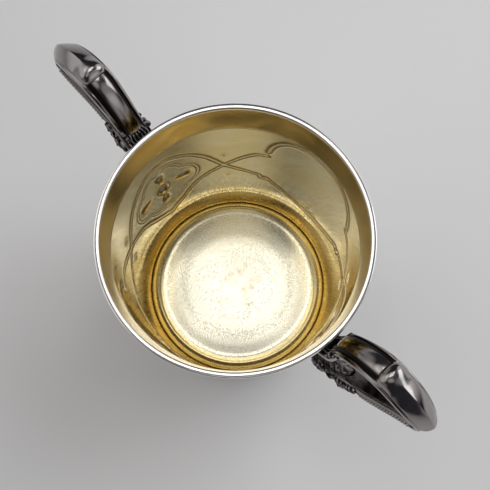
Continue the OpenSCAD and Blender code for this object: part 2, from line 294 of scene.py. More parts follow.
def turned(profile, n):
    """A closed profile of (radius, height) points carried once round the bowl's axis, as n rings."""
    a = 2 * np.pi * np.arange(n) / n
    r, z = profile[:, 0][None], profile[:, 1][None]
    height = np.broadcast_to(z, (n, len(profile)))
    return np.stack([r * np.cos(a)[:, None], r * np.sin(a)[:, None], height], -1)


def tube(path, radii, across, m=12, flat=1.0):
    """A round or flattened wire along a path in space. Each ring is a circle of the given radius in the
    plane of the path's own normal and the fixed direction across it; flat squeezes it along that one."""
    t = np.gradient(path, axis=0)
    t /= np.linalg.norm(t, axis=1, keepdims=True)
    across = np.broadcast_to(np.asarray(across, float), path.shape)
    side = np.cross(t, across)
    side /= np.linalg.norm(side, axis=1, keepdims=True)
    up = np.cross(side, t)
    a = 2 * np.pi * np.arange(m) / m
    r = np.asarray(radii)[:, None, None]
    ring = np.cos(a)[None, :, None] * side[:, None] + flat * np.sin(a)[None, :, None] * up[:, None]
    return skin(path[:, None] + r * ring)


# ---- Finished pieces ----


def make_piece(name, body, material, nodes, sharp=50, attributes=None):
    """Puts a skin into a mesh object at the origin, which rides on the frame and stands for its nodes."""
    points, quads, fans = body
    mesh = bpy.data.meshes.new(name)
    mesh.vertices.add(len(points))
    mesh.vertices.foreach_set("co", points.astype(np.float32).ravel())
    corners = np.concatenate([quads.ravel(), fans.ravel()]).astype(np.int32)
    counts = np.concatenate([np.full(len(quads), 4), np.full(len(fans), 3)])
    mesh.loops.add(len(corners))
    mesh.loops.foreach_set("vertex_index", corners)
    mesh.polygons.add(len(counts))
    mesh.polygons.foreach_set("loop_start", np.concatenate([[0], np.cumsum(counts)[:-1]]).astype(np.int32))
    mesh.update(calc_edges=True)
    if mesh.validate():
        raise RuntimeError(f"{name} has a face that is not sound")
    mesh.polygons.foreach_set("use_smooth", np.ones(len(counts), bool))
    mesh.set_sharp_from_angle(angle=math.radians(sharp))
    for key, values in (attributes or {}).items():
        layer = mesh.attributes.new(key, "FLOAT", "POINT")
        full = np.zeros(len(points), np.float32)
        full[: len(values)] = values
        layer.data.foreach_set("value", full)
    mesh.materials.append(material)
    piece = bpy.data.objects.new(name, mesh)
    bpy.context.scene.collection.objects.link(piece)
    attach(piece, BODY)
    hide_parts(*nodes)
    return piece


# ---- Metals ----


class Nodes:
    """Adds nodes to one material and links them."""

    def __init__(self, name):
        self.material = bpy.data.materials.new(name)
        self.material.use_nodes = True
        self.tree = self.material.node_tree
        self.shader = self.tree.nodes["Principled BSDF"]

    def add(self, kind, inputs=None, **settings):
        node = self.tree.nodes.new(kind)
        for key, value in settings.items():
            setattr(node, key, value)
        for key, value in (inputs or {}).items():
            self.put(node.inputs[key], value)
        return node

    def put(self, socket, value):
        if isinstance(value, bpy.types.NodeSocket):
            self.tree.links.new(value, socket)
        else:
            socket.default_value = value

    def place(self, scale=(1, 1, 1)):
        """The piece's own coordinates, stretched by scale."""
        coords = self.add("ShaderNodeTexCoord").outputs["Object"]
        return self.add("ShaderNodeMapping", {"Vector": coords, "Scale": scale}).outputs["Vector"]

    def noise(self, scale, detail=3.0, rough=0.55, place=None, stretch=(1, 1, 1)):
        where = place if place is not None else self.place(stretch)
        return self.add(
            "ShaderNodeTexNoise", {"Vector": where, "Scale": scale, "Detail": detail, "Roughness": rough}
        ).outputs["Fac"]

    def ramp(self, value, low, high, out_low=0.0, out_high=1.0):
        """Maps low..high to out_low..out_high and holds it there."""
        return self.add(
            "ShaderNodeMapRange",
            {"Value": value, "From Min": low, "From Max": high, "To Min": out_low, "To Max": out_high},
            interpolation_type="SMOOTHSTEP",
        ).outputs["Result"]

    def math(self, operation, a, b=0.0):
        return self.add("ShaderNodeMath", {0: a, 1: b}, operation=operation).outputs[0]

    def mix(self, share_socket, a, b):
        """Colour a where the share is 0 and b where it is 1."""
        node = self.add("ShaderNodeMix", data_type="RGBA", clamp_factor=True)
        self.put(node.inputs["Factor"], share_socket)
        self.put(node.inputs["A"], a)
        self.put(node.inputs["B"], b)
        return node.outputs["Result"]

    def attribute(self, name):
        return self.add("ShaderNodeAttribute", attribute_name=name, attribute_type="GEOMETRY").outputs["Fac"]

    def bump(self, height, strength, distance, normal=None):
        node = self.add("ShaderNodeBump", {"Strength": strength, "Distance": distance, "Height": height})
        if normal is not None:
            self.put(node.inputs["Normal"], normal)
        return node.outputs["Normal"]

    def finish(self, base, roughness, normal=None):
        self.shader.inputs["Metallic"].default_value = 1.0
        self.put(self.shader.inputs["Base Color"], base)
        self.put(self.shader.inputs["Roughness"], roughness)
        if normal is not None:
            self.put(self.shader.inputs["Normal"], normal)
        return self.material


def rgba(c):
    return (c[0], c[1], c[2], 1.0)


def kept(build):
    """Builds a material once and hands out the same one after that."""

    def get():
        found = bpy.data.materials.get(build.__name__)
        return found or build()

    return get


def plate(name, chased):
    """Clean plate: bright, with cloudy polish, hairline scratches and a little tarnish in its lines."""
    _, _, f, _ = sizes()
    n = Nodes(name)
    cloud = n.noise(55, 4, 0.6)
    hollow = n.ramp(n.attribute("hollow"), 0.25, 1.0)
    patch = n.ramp(cloud, 0.45, 0.75, 0.0, 0.22)
    base = n.mix(patch, rgba(f.silver), (0.62, 0.55, 0.46, 1))
    base = n.mix(hollow, base, rgba(f.tarnish))
    rough = n.ramp(n.noise(140, 3), 0.3, 0.7, f.silver_polish * 0.75, f.silver_polish * 1.35)
    fine = n.bump(n.noise(900, 2, 0.5, stretch=(1, 0.12, 1)), 0.10, 0.05 * mm)
    if chased:
        cut = chased_lines(n)
        base = n.mix(n.math("MULTIPLY", cut, 0.35), base, rgba(f.tarnish))
        fine = n.bump(cut, 0.6, -0.12 * mm, fine)
    return n.finish(base, rough, fine)


@kept
def bright_silver():
    """Plain bright plate."""
    return plate("bright_silver", False)


@kept
def chased_silver():
    """Bright plate with the chased lines showing dark."""
    return plate("chased_silver", True)


@kept
def cast_silver():
    """Handle silver: darkened by age, with tarnish black in its hollows and painted shade where a piece marks
    it.
    """
    _, _, f, _ = sizes()
    n = Nodes("cast_silver")
    cloud = n.noise(90, 5, 0.6)
    hollow = n.ramp(n.attribute("hollow"), 0.15, 0.85)
    film = n.ramp(cloud, 0.38, 0.72, 0.0, 0.55)
    base = n.mix(film, rgba(f.handle_silver), (0.27, 0.245, 0.235, 1))
    # The hollow mask holds tarnish in the real hollows and painted shade where each handle piece marks it.
    base = n.mix(hollow, base, rgba(f.tarnish))
    rough = n.ramp(n.noise(260, 4), 0.3, 0.7, f.handle_polish * 0.6, f.handle_polish * 1.5)
    rough = n.math("ADD", rough, n.math("MULTIPLY", hollow, 0.3))
    dents = n.bump(n.noise(170, 2, 0.4), 0.35, 0.16 * mm)
    return n.finish(base, rough, n.bump(n.noise(1500, 3, 0.6), 0.12, 0.05 * mm, dents))


def chased_lines(n):
    """Fine lines at set distances from the middle of a strap and from the outline of the cartouche: each is
    1 where the stored distance equals its own and falls to 0 a line's half-width away."""
    half = sizes()[0].strap_width / 2
    cut = None
    for field, offset in (
        ("strap_away", half), ("strap_away", half * 0.52), ("cartouche_away", 0.0),
        ("cartouche_away", -LINE_GAP), ("boss_away", BOSS_R),
    ):
        gap = n.math("ABSOLUTE", n.math("SUBTRACT", n.attribute(field), offset))
        one = n.ramp(gap, 0.06 * mm, 0.32 * mm, 1.0, 0.0)
        cut = one if cut is None else n.math("MAXIMUM", cut, one)
    return cut


@kept
def gilding():
    """Gilt wall: warm gold with long soft streaks round the bowl, paler where it is rubbed and brown in its
    lines, with a painted dark reflection in brown on the flared lip and a painted highlight on a pale ridge
    at the neck."""
    _, _, f, _ = sizes()
    n = Nodes("gilding")
    hollow = n.ramp(n.attribute("hollow"), 0.3, 1.0)
    cut = chased_lines(n)
    cloud = n.noise(38, 4, 0.55)
    streak = n.noise(60, 4, 0.6, stretch=(1, 1, 6))
    base = n.mix(n.ramp(cloud, 0.35, 0.7, 0.0, 0.45), rgba(f.gilt), rgba(f.pale_gilt))
    base = n.mix(n.ramp(streak, 0.5, 0.8, 0.0, 0.35), base, (0.70, 0.50, 0.20, 1))
    coords = n.add("ShaderNodeTexCoord").outputs["Object"]
    height = n.add("ShaderNodeSeparateXYZ", {"Vector": coords}).outputs["Z"]
    neck = Profile().neck_z
    # Painted dark reflection: the flared lip above the neck is coloured brown.
    flare = n.ramp(height, neck - 0.2 * mm, neck + 0.6 * mm)
    base = n.mix(n.math("MULTIPLY", flare, 0.62), base, rgba(f.brown_gilt))
    # Painted highlight: a pale line along the neck, which also raises a small ridge in the bump below.
    ridge = n.ramp(n.math("ABSOLUTE", n.math("SUBTRACT", height, neck)), 0.1 * mm, 0.6 * mm, 1.0, 0.0)
    base = n.mix(n.math("MULTIPLY", ridge, 0.8), base, rgba(f.pale_gilt))
    base = n.mix(hollow, base, rgba([c * 0.5 for c in f.stain]))
    base = n.mix(n.math("MULTIPLY", cut, 0.72), base, rgba([c * 0.3 for c in f.stain]))
    rough = n.ramp(streak, 0.25, 0.75, f.wall_polish * 0.7, f.wall_polish * 1.4)
    fine = n.noise(420, 3, 0.5, stretch=(1, 1, 7))
    relief = n.math("SUBTRACT", cut, ridge)
    return n.finish(base, rough, n.bump(relief, 0.9, 0.16 * mm, n.bump(fine, 0.07, 0.04 * mm)))


@kept
def worn_gilding():
    """Gilt bottom: pale and rubbed, brushed in rings round its middle, with faint brown stains and
    pin spots."""
    _, _, f, _ = sizes()
    n = Nodes("worn_gilding")
    coords = n.add("ShaderNodeTexCoord").outputs["Object"]
    parts = n.add("ShaderNodeSeparateXYZ", {"Vector": coords})
    x, y = parts.outputs["X"], parts.outputs["Y"]
    radius = n.math("SQRT", n.math("ADD", n.math("MULTIPLY", x, x), n.math("MULTIPLY", y, y)))
    turn = n.math("ARCTAN2", y, x)
    polar = n.add("ShaderNodeCombineXYZ", {"X": radius, "Y": n.math("MULTIPLY", turn, 0.0010)})
    rings = n.noise(1700, 3, 0.6, place=polar.outputs["Vector"])
    wide = n.noise(330, 3, 0.6, place=polar.outputs["Vector"])
    blotch = n.noise(75, 5, 0.65)
    middle = n.ramp(radius, 4 * mm, 19 * mm, 1.0, 0.0)
    stains = n.math("MULTIPLY", n.ramp(blotch, 0.46, 0.68, 0.0, 0.75), middle)
    specks = n.add("ShaderNodeTexVoronoi", {"Vector": coords, "Scale": 85.0, "Randomness": 1.0}, feature="F1")
    spot = n.ramp(specks.outputs["Distance"], 0.035, 0.06, 0.8, 0.0)
    few = n.ramp(n.noise(45, 1), 0.50, 0.56)
    base = n.mix(n.ramp(wide, 0.35, 0.7, 0.0, 0.30), rgba(f.pale_gilt), (0.78, 0.73, 0.57, 1))
    base = n.mix(n.ramp(radius, 33 * mm, 39 * mm, 0.0, 0.5), base, rgba(f.gilt))
    base = n.mix(stains, base, rgba(f.stain))
    base = n.mix(n.math("MULTIPLY", spot, few), base, (0.25, 0.15, 0.05, 1))
    # Fine worn grains: bright spots that mirror the room, in a dull ground that spreads the light
    grain = n.noise(2600, 2, 0.6)
    rough = n.ramp(grain, 0.40, 0.60, f.floor_polish * 0.6, f.floor_polish * 1.5)
    return n.finish(base, rough, n.bump(rings, 0.03, 0.03 * mm, n.bump(n.noise(60, 3), 0.05, 0.2 * mm)))


# ---- Bowl profile ----


class Profile:
    """Radius of the inside of the bowl at any height."""

    def __init__(self):
        s = sizes()[0]
        self.s = s
        self.lip_top = BOWL_H - s.rim_wire / 2
        self.neck_r = RIM_R - s.rim_wire / 2 - s.wall / 2 - s.lip_flare
        self.neck_z = BOWL_H - s.lip_height
        self.floor_z = PLATE_TOP - s.plate_rise

    def inside(self, z):
        """Below the neck, a straight taper with a belly on it; above, a flare that grows as the height to
        the power 1.15."""
        s = self.s
        u = np.clip((z - self.floor_z) / (self.neck_z - self.floor_z), 0, 1)
        drum = FLOOR_R + s.taper * u + s.belly * np.sin(np.pi * u**0.75)
        v = np.clip((z - self.neck_z) / (self.lip_top - self.neck_z), 0, 1)
        return drum + s.lip_flare * v**1.15

    def heights(self, rows_band, rows_lip, rows_foot, low, high):
        """Heights from foot to lip, close together in the chased band between low and high."""
        return np.concatenate([
            np.linspace(WALL_FOOT, low, rows_foot, endpoint=False),
            np.linspace(low, high, rows_band, endpoint=False),
            np.linspace(high, self.lip_top, rows_lip),
        ])


# ---- Chasing: the pattern on the wall, over angle from the handle and height ----

MEAN_R = 45.5 * mm
CROSSING = (36.7, 48.3)
# Strap paths as (degrees round from the handle, height in millimetres)
RISING_STRAP = [(0, 24.5), (10, 29.5), (21, 39), CROSSING, (47, 55.5), (54, 60), (60.5, 61.5)]
CANOPY = [(60.5, 65.5), (63, 73), (69, 79.5), (78, 82.8), (90, 83.6)]
FALLING_STRAP = [(0, 77), (6, 76), (14, 71.5), (21, 66.5), (28, 59.5), CROSSING, (45, 43), (54, 39.6)]
BASIN = [(60, 38.2), (68, 32.6), (78, 28.4), (90, 26.6)]
STEPS = [
    [(54, 39.6), (56.5, 39.2)], [(56.5, 39.2), (57.6, 36.4)],
    [(57.6, 36.4), (60.4, 36.2)], [(60.4, 36.2), (62, 36.4)],
]
CARTOUCHE_UP = 51 * mm
BOSS_R = 3.6 * mm
LINE_GAP = 1.5 * mm
CHASED_LOW, CHASED_HIGH = 21 * mm, 86 * mm


def to_plane(path):
    """Degrees and millimetres to metres round and metres up."""
    p = np.asarray(path, float)
    return np.stack([np.radians(p[:, 0]) * MEAN_R, p[:, 1] * mm], 1)


def distance_to(path, x, z):
    """Least distance from each point to a path of straight pieces."""
    best = np.full(x.shape, 1.0)
    for (ax, az), (bx, bz) in zip(path[:-1], path[1:]):
        dx, dz = bx - ax, bz - az
        t = np.clip(((x - ax) * dx + (z - az) * dz) / (dx * dx + dz * dz + 1e-18), 0, 1)
        best = np.minimum(best, np.hypot(x - ax - t * dx, z - az - t * dz))
    return best


def line(d, width):
    """One chased line: a bell-shaped stroke at distance d from its middle."""
    return np.exp(-((d / width) ** 2))


def petal(x, z, cx, cz, turn, half_length, half_width):
    """A sunk drop: a bell that is longer one way than the other."""
    c, s = math.cos(turn), math.sin(turn)
    u = ((x - cx) * c + (z - cz) * s) / half_length
    v = ((z - cz) * c - (x - cx) * s) / (half_width * (1 + 0.35 * np.clip(u, -1, 1)))
    return np.exp(-((u * u + v * v) ** 1.6))


def strap_paths():
    """The middle lines of the straps in metres: four curved ones and the stepped one between two of them."""
    curved = [rounded(to_plane(p), 7) for p in (RISING_STRAP, CANOPY, FALLING_STRAP, BASIN)]
    return [*curved, np.vstack([to_plane(p) for p in STEPS])]


def round_from_handle(angle):
    """Metres round the wall from the nearer handle. The pattern is the same either side of each handle, so
    the angle is folded to one quarter."""
    return np.abs(np.angle(np.exp(2j * angle))) / 2 * MEAN_R


def cartouche(x, z):
    """Distance outside the four-lobed outline under the handle, and from the middle of its oval boss."""
    v = z - CARTOUCHE_UP
    lobe = (14.6 + 3.6 * np.abs(np.cos(2 * np.arctan2(v, x))) ** 0.7) * mm
    return np.hypot(x, v * 0.92) - lobe, np.hypot(x, v / 1.35)


def chased_fields(angle, z):
    """Distance from the middle of the nearest strap, from the cartouche's outline and from the middle of
    its boss."""
    x = round_from_handle(angle)
    away = np.full_like(x, 1.0)
    for path in strap_paths():
        away = np.minimum(away, distance_to(path, x, z))
    outline, ring = cartouche(x, z)
    return {"strap_away": away, "cartouche_away": outline, "boss_away": ring}


def chasing(angle, z):
    """Depth of the chased pattern, toward the axis of the bowl, at an angle round it and a height: the sum
    of bell-shaped lines along the straps and the cartouche, and of sunk drops and rosettes."""
    s = sizes()[0]
    x = round_from_handle(angle)
    w, half = s.chase_width, s.strap_width / 2
    struck = np.zeros_like(x)
    raised = np.zeros_like(x)
    for path in strap_paths():
        d = distance_to(path, x, z)
        struck = np.maximum(struck, line(d - half, w))
        struck = np.maximum(struck, 0.55 * line(d, w * 0.8))
        raised = np.maximum(raised, smooth(1.25 - d / half))
    relief = s.chase_depth * struck + 0.10 * mm * raised

    # Round the handle: a four-lobed cartouche of two lines, a ringed boss and three sunk drops
    outline, ring = cartouche(x, z)
    relief += s.chase_depth * 0.9 * np.maximum(line(outline, w), line(outline + LINE_GAP, w * 0.8))
    relief += s.chase_depth * 1.2 * line(ring - BOSS_R, w)
    relief -= 0.85 * mm * np.exp(-((ring / (2.5 * mm)) ** 4))
    for px, pz, a in ((0, 10.2, 90), (0, -10.2, -90), (10.6, 0.4, 0)):
        relief -= 0.75 * mm * petal(
            x, z, px * mm, CARTOUCHE_UP + pz * mm, math.radians(a), 3.9 * mm, 2.1 * mm
        )
    # Small diamond rosettes over and under each crossing
    for rx, rz in ((36.7, 59.2), (38.6, 38.2)):
        px = math.radians(rx) * MEAN_R
        diamond = np.abs(x - px) / (1.9 * mm) + np.abs(z - rz * mm) / (2.3 * mm)
        edge, heart = line((diamond - 1) * mm * 1.4, w), np.exp(-((diamond / 0.5) ** 2))
        relief += s.chase_depth * (1.1 * edge - 1.2 * heart)
    # A small fleur on the middle of each face
    middle = math.radians(90) * MEAN_R
    for px, pz, a, size in (
        (0, 31.5, 90, 1.0), (-2.6, 30.6, 140, 0.8), (0, 35.5, 90, 0.7), (-4.6, 29.6, 170, 0.55),
    ):
        relief -= 0.34 * mm * petal(
            x, z, middle + px * mm, pz * mm, math.radians(a), 2.1 * mm * size, 0.85 * mm * size
        )
    return relief


def hammered(angle, z):
    """Slow waves that keep the wall from a true round: a few sines of the angle and the height."""
    s = sizes()[0]
    wave = (
        0.45 * np.sin(2 * angle + 0.7)
        + 0.30 * np.sin(3 * angle + 2.1 + 25 * z)
        + 0.22 * np.sin(5 * angle - 1.3 + 60 * z)
        + 0.14 * np.sin(9 * angle + 0.4 - 90 * z)
        + 0.09 * np.sin(14 * angle + 2.6 + 140 * z)
    )
    return s.waviness * wave


def wall_skin(inner):
    """One face of the wall with its relief, closed by a plain back in the middle of the metal."""
    s = sizes()[0]
    p = Profile()
    z = p.heights(WALL_ROWS, 10, 7, CHASED_LOW, CHASED_HIGH)
    a = 2 * np.pi * np.arange(WALL_RINGS) / WALL_RINGS
    angle, height = np.meshgrid(a, z, indexing="ij")
    fade = smooth((height - 9 * mm) / (8 * mm)) * smooth((p.lip_top - height) / (10 * mm))
    relief = chasing(angle, height)
    moved = relief + hammered(angle, height) * fade
    r = p.inside(height) - moved + (0 if inner else s.wall)
    face = np.stack([r * np.cos(angle), r * np.sin(angle), height], -1)
    back_z = np.linspace(p.lip_top, WALL_FOOT, 9)[1:-1]
    back_r = p.inside(back_z) + s.wall / 2
    lip_end = [p.inside(p.lip_top) + s.wall / 2, p.lip_top]
    foot_end = [p.inside(WALL_FOOT) + s.wall / 2, WALL_FOOT]
    back = np.vstack([[lip_end], np.stack([back_r, back_z], 1), [foot_end]])
    rings = np.concatenate([face, turned(back, WALL_RINGS)], 1)
    if inner:
        sunk = np.clip(-relief / (0.55 * mm), 0, 1)
    else:
        sunk = np.clip(relief / (0.30 * mm), 0, 1) * 0.7
    layers = {"hollow": sunk, **chased_fields(angle, height)}
    for key, values in layers.items():
        full = np.full(rings.shape[:2], 0.0 if key == "hollow" else 1.0)
        full[:, : len(z)] = values
        layers[key] = full.ravel()
    return skin(rings, closed=True), layers


class SUGARBOWL_OT_wall(bpy.types.Operator):
    """Builds the wall: the gilt inside and the silver outside, with the chased strapwork showing on both"""

    bl_idname = "sugarbowl.wall"
    bl_label = "Wall"

    def execute(self, context):
        for name, inner, material, slot in (
            ("bowl_inside", True, gilding(), "bottom_gilt"),
            ("bowl_outside", False, chased_silver(), "body_silver"),
        ):
            body, layers = wall_skin(inner)
            make_piece(name, body, material, ["bowl_body"], 60, layers)
        return {"FINISHED"}


class SUGARBOWL_OT_rim(bpy.types.Operator):
    """Builds the wire round the lip"""

    bl_idname = "sugarbowl.rim"
    bl_label = "Rim wire"

    def execute(self, context):
        s = sizes()[0]
        round_x, round_z = box_section(36, 3.6)
        half = s.rim_wire / 2
        profile = np.stack([RIM_R - half * (1 - round_x), BOWL_H - half * (1 - round_z)], 1)
        rings = turned(profile, RIM_RINGS)
        turn = 2 * np.pi * np.arange(RIM_RINGS)[:, None] / RIM_RINGS
        swell = 1 + 0.0006 * np.sin(3 * turn + 0.5) + 0.0004 * np.sin(7 * turn)
        rings[..., :2] *= swell[..., None]
        make_piece("rim_wire_piece", skin(rings, closed=True), bright_silver(), ["rim_wire"])
        return {"FINISHED"}


class SUGARBOWL_OT_bottom(bpy.types.Operator):
    """Builds the let-in bottom plate, raised in the middle inside a sloping border"""

    bl_idname = "sugarbowl.bottom"
    bl_label = "Bottom plate"

    def execute(self, context):
        s = sizes()[0]
        step_r = FLOOR_R - s.plate_border
        inner = np.linspace(0.2 * mm, step_r, 60, endpoint=False)
        border = np.linspace(0, 1, 26)
        r = np.concatenate([inner, step_r + s.plate_border * border])
        # The border falls as the power 2.2 of the way out: gently at first, then steeply into the corner
        top = np.concatenate([np.full(60, PLATE_TOP), PLATE_TOP - s.plate_rise * border**2.2])
        bead = 0.10 * mm * np.exp(-(((r - step_r + 0.5 * mm) / (0.6 * mm)) ** 2))
        spun = s.plate_dome * (1 - (r / step_r) ** 2) + 0.010 * mm * np.sin(r / (1.1 * mm)) * r / step_r
        top = top + (bead + spun) * (r < step_r + 2 * mm)
        under = np.stack([r, top - s.plate], 1)[::-1]
        line_rz = np.vstack([np.stack([r, top], 1), under])
        line_r, line_z = line_rz[:, :1], line_rz[:, 1:]
        a = 2 * np.pi * np.arange(BOTTOM_RINGS) / BOTTOM_RINGS
        height = np.broadcast_to(line_z, (len(line_rz), BOTTOM_RINGS))
        rings = np.stack([line_r * np.cos(a), line_r * np.sin(a), height], -1)
        turn = np.broadcast_to(a, rings.shape[:2])
        # The middle is very slightly saddled, as a thin plate is
        rings[..., 2] += 0.05 * mm * np.sin(2 * turn + 1.0) * (line_r / FLOOR_R) ** 2 * (line_r < step_r)
        make_piece("bottom_plate_piece", skin(rings), worn_gilding(), ["bottom_plate"])
        return {"FINISHED"}


class SUGARBOWL_OT_foot(bpy.types.Operator):
    """Builds the hollow foot and the wire it stands on"""

    bl_idname = "sugarbowl.foot"
    bl_label = "Foot"

    def execute(self, context):
        s = sizes()[0]
        top_r = FLOOR_R + s.wall
        foot_h = WALL_FOOT
        flare = FOOT_R - top_r
        outer = cubic([
            (top_r, foot_h), (top_r, foot_h * 0.55), (FOOT_R - flare * 0.4, foot_h * 0.25), (FOOT_R, 0),
        ], 26)
        t = np.linspace(0, 1, 27)
        # Two small mouldings near the top
        mould = (
            0.28 * mm * np.exp(-(((t - 0.16) / 0.05) ** 2))
            + 0.16 * mm * np.exp(-(((t - 0.30) / 0.035) ** 2))
        )
        profile = np.vstack([outer + np.stack([mould, 0 * mould], 1), outer[::-1] - [s.wall, 0]])
        ring = skin(turned(profile, FOOT_RINGS), True)
        make_piece("foot_ring_piece", ring, bright_silver(), ["foot_ring"])
        a = 2 * np.pi * np.arange(20) / 20
        wire = np.stack([FOOT_R + s.foot_wire / 2 * np.cos(a), s.foot_wire / 2 * (1 + np.sin(a))], 1)
        rings = turned(wire, FOOT_WIRE_RINGS)
        turn = 2 * np.pi * np.arange(FOOT_WIRE_RINGS)[:, None] / FOOT_WIRE_RINGS
        reeds = 1 + 0.0016 * np.abs(np.cos(120 * turn)) * (np.cos(a)[None] > 0)
        rings[..., :2] *= reeds[..., None]
        make_piece("foot_wire_piece", skin(rings, True), bright_silver(), ["foot_wire"])
        return {"FINISHED"}


# ---- Handle paths, as distance out from the rim's edge and height over the rim ----


class HandlePaths:
    """The lines that the handle's pieces follow, all in the plane y = 0."""

    def __init__(self):
        self.b, self.h = sizes()[:2]
        b, h = self.b, self.h
        self.profile = Profile()
        self.reach = HANDLE_REACH
        self.rise = HANDLE_RISE
        root_z = -b.lip_height * 0.72
        self.root = np.array([self.outside(root_z) - 0.5 * mm, root_z])
        self.start = np.array([3.4 * mm, 2.4 * mm])
        self.shoulder = np.array([self.reach * 0.39, self.rise - h.rest - 0.4 * mm])
        self.tip = np.array([self.reach - h.rest - 0.4 * mm, self.rise * 0.37])
        root_to_start = cubic([
            self.root, self.root + [5 * mm, 0.2 * mm], self.start - [0, 5.4 * mm], self.start,
        ], 40)
        rise = cubic([
            self.start, self.start + [0, 4.4 * mm],
            self.shoulder - [self.reach * 0.15, self.rise * 0.1], self.shoulder,
        ], 60)
        crown = cubic([
            self.shoulder, self.shoulder + [self.reach * 0.16, self.rise * 0.1],
            self.tip + [-self.reach * 0.07, self.rise * 0.36], self.tip,
        ], 80)
        self.root_path, self.rise_path, self.crown_path = root_to_start, rise, crown
        self.arm_path = np.vstack([root_to_start, rise[1:], crown[1:]])
        leg_root = np.array([self.outside(-h.leg_drop), -h.leg_drop])
        self.leg_start = self.tip + [-h.leg * 0.62, 0.8 * mm]
        self.knee = np.array([self.reach * 0.44, -h.leg_drop * 0.34])
        run = self.leg_start - self.knee
        self.leg_dir = run / np.linalg.norm(run)
        self.bend = cubic([
            self.knee, self.knee - self.leg_dir * h.leg_drop * 0.32,
            leg_root + [h.leg_drop * 0.3, 3.4 * mm], leg_root - [1 * mm, 0],
        ], 60)

    def outside(self, height):
        """How far the outside of the wall stands beyond the rim's edge at a height over the rim."""
        return float(self.profile.inside(np.array(BOWL_H + height))) + self.b.wall - RIM_R

    def half_width(self, x):
        """Half the width of the arm at a distance out: it widens evenly from the root, then ends round."""
        h = self.h
        neck, mid, end = self.reach * 0.4, self.reach * 0.56, self.reach + 2 * mm
        leaf = (h.root_width + (h.arm_width - h.root_width) * smooth(x / neck)) / 2
        nose = h.arm_width / 2 * np.sqrt(1 - np.clip((x - mid) / (end - mid), 0, 1) ** 2.6)
        return np.where(x < mid, leaf, nose)

    def cover_half_width(self, x):
        """Half the width of the strap and of the thumb rest, inside the ledges of the arm."""
        return self.half_width(x) - self.h.ledge


def place(out, up, y, side):
    """From the handle's plane to the bowl: distance out, height over the rim, distance sideways.
    Below the shoulder the handle drifts to one side, as it was set by hand."""
    drift = sizes()[1].set_aside * smooth((10 * mm - np.asarray(up)) / (22 * mm))
    return np.stack(np.broadcast_arrays(side * (RIM_R + out), y - side * drift, BOWL_H + up), -1)


def swept(path, across, lift, side):
    """A section carried along a path in the handle's plane. across and lift give each ring's points:
    how far sideways, and how far along the path's left-hand normal."""
    n = normals_2d(path)
    out = path[:, :1] + n[:, :1] * lift
    up = path[:, 1:] + n[:, 1:] * lift
    return place(out, up, across, side)


def box_section(m, square=4.0):
    """A rounded oblong of half-width 1 and half-height 1: a superellipse of the given power."""
    a = 2 * np.pi * np.arange(m) / m
    c, s = np.cos(a), np.sin(a)
    return np.sign(c) * np.abs(c) ** (2 / square), np.sign(s) * np.abs(s) ** (2 / square)


def round_end(t, nose):
    """The plan of a blunt round end: a superellipse quarter over the first share of a length."""
    return np.clip(1 - (1 - np.clip(t / nose, 0, 1)) ** 2.5, 0.0004, 1) ** (1 / 2.5)


def dome_end(t, nose):
    """Rises like a quarter circle over the first share of a length."""
    return np.sqrt(np.clip(1 - (1 - np.clip(t / nose, 0, 1)) ** 2, 0.0004, 1))


def carved(points):
    """Painted light and shade on the cast foliage: a sine of the place, so that it turns from bright to black
    every 1.3 mm.
    """
    return 0.15 + 0.80 * np.abs(np.sin(np.pi * points @ [1.0, 0.6, 1.7] / (2.6 * mm))) ** 1.5


def both_sides(make):
    """Builds a piece for each handle."""
    for name, side in SIDES.items():
        make(name, side)


class SUGARBOWL_OT_arms(bpy.types.Operator):
    """Builds the arms: a flat bar from under the lip over the shoulder to the tip, with rounded edges"""

    bl_idname = "sugarbowl.arms"
    bl_label = "Arms"

    def execute(self, context):
        k = HandlePaths()
        path = even(k.arm_path, 220)
        across, lift = box_section(40, 5)
        t = along(path) / along(path)[-1]
        w = k.half_width(path[:, 0])[:, None]
        end = dome_end(1 - t, 0.012)[:, None]
        thick = k.h.arm / 2 * end
        # Painted shade: the lower face is coloured a quarter dark, and the upper face, all but its edges,
        # three quarters dark within a few millimetres of the wall.
        under = np.clip(-lift, 0, 1)[None] * 0.25
        root = smooth((6 * mm - path[:, :1]) / (4 * mm))
        hollow = under + 0.75 * root * (np.abs(across) < 0.93)

        def build(name, side):
            rings = swept(path, w * across * end**0.3, -k.h.arm / 2 + thick * lift, side)
            shade = np.broadcast_to(hollow, rings.shape[:2]).ravel()
            make_piece(f"{name}_arm_piece", skin(rings), cast_silver(), [f"{name}_handle_arm"],
                       60, {"hollow": shade})

        both_sides(build)
        return {"FINISHED"}


class SUGARBOWL_OT_straps(bpy.types.Operator):
    """Builds the half-round straps, each with a rounded inner end and a raised line along both edges"""

    bl_idname = "sugarbowl.straps"
    bl_label = "Straps"

    def execute(self, context):
        k = HandlePaths()
        path = even(np.vstack([k.root_path[-7:-1], k.rise_path, k.crown_path[1:10]]), 120)
        t = along(path) / along(path)[-1]
        nose = dome_end(t, 0.16)[:, None]
        w = k.cover_half_width(path[:, 0])[:, None] * round_end(t, 0.16)[:, None]
        across, lift, edge = strap_section()

        def build(name, side):
            rings = swept(path, w * across, k.h.strap * nose * lift - 0.3 * mm, side)
            shade = np.broadcast_to(edge, rings.shape[:2]).ravel()
            make_piece(f"{name}_strap_piece", skin(rings), cast_silver(), [f"{name}_strap"],
                       40, {"hollow": shade})

        both_sides(build)
        return {"FINISHED"}


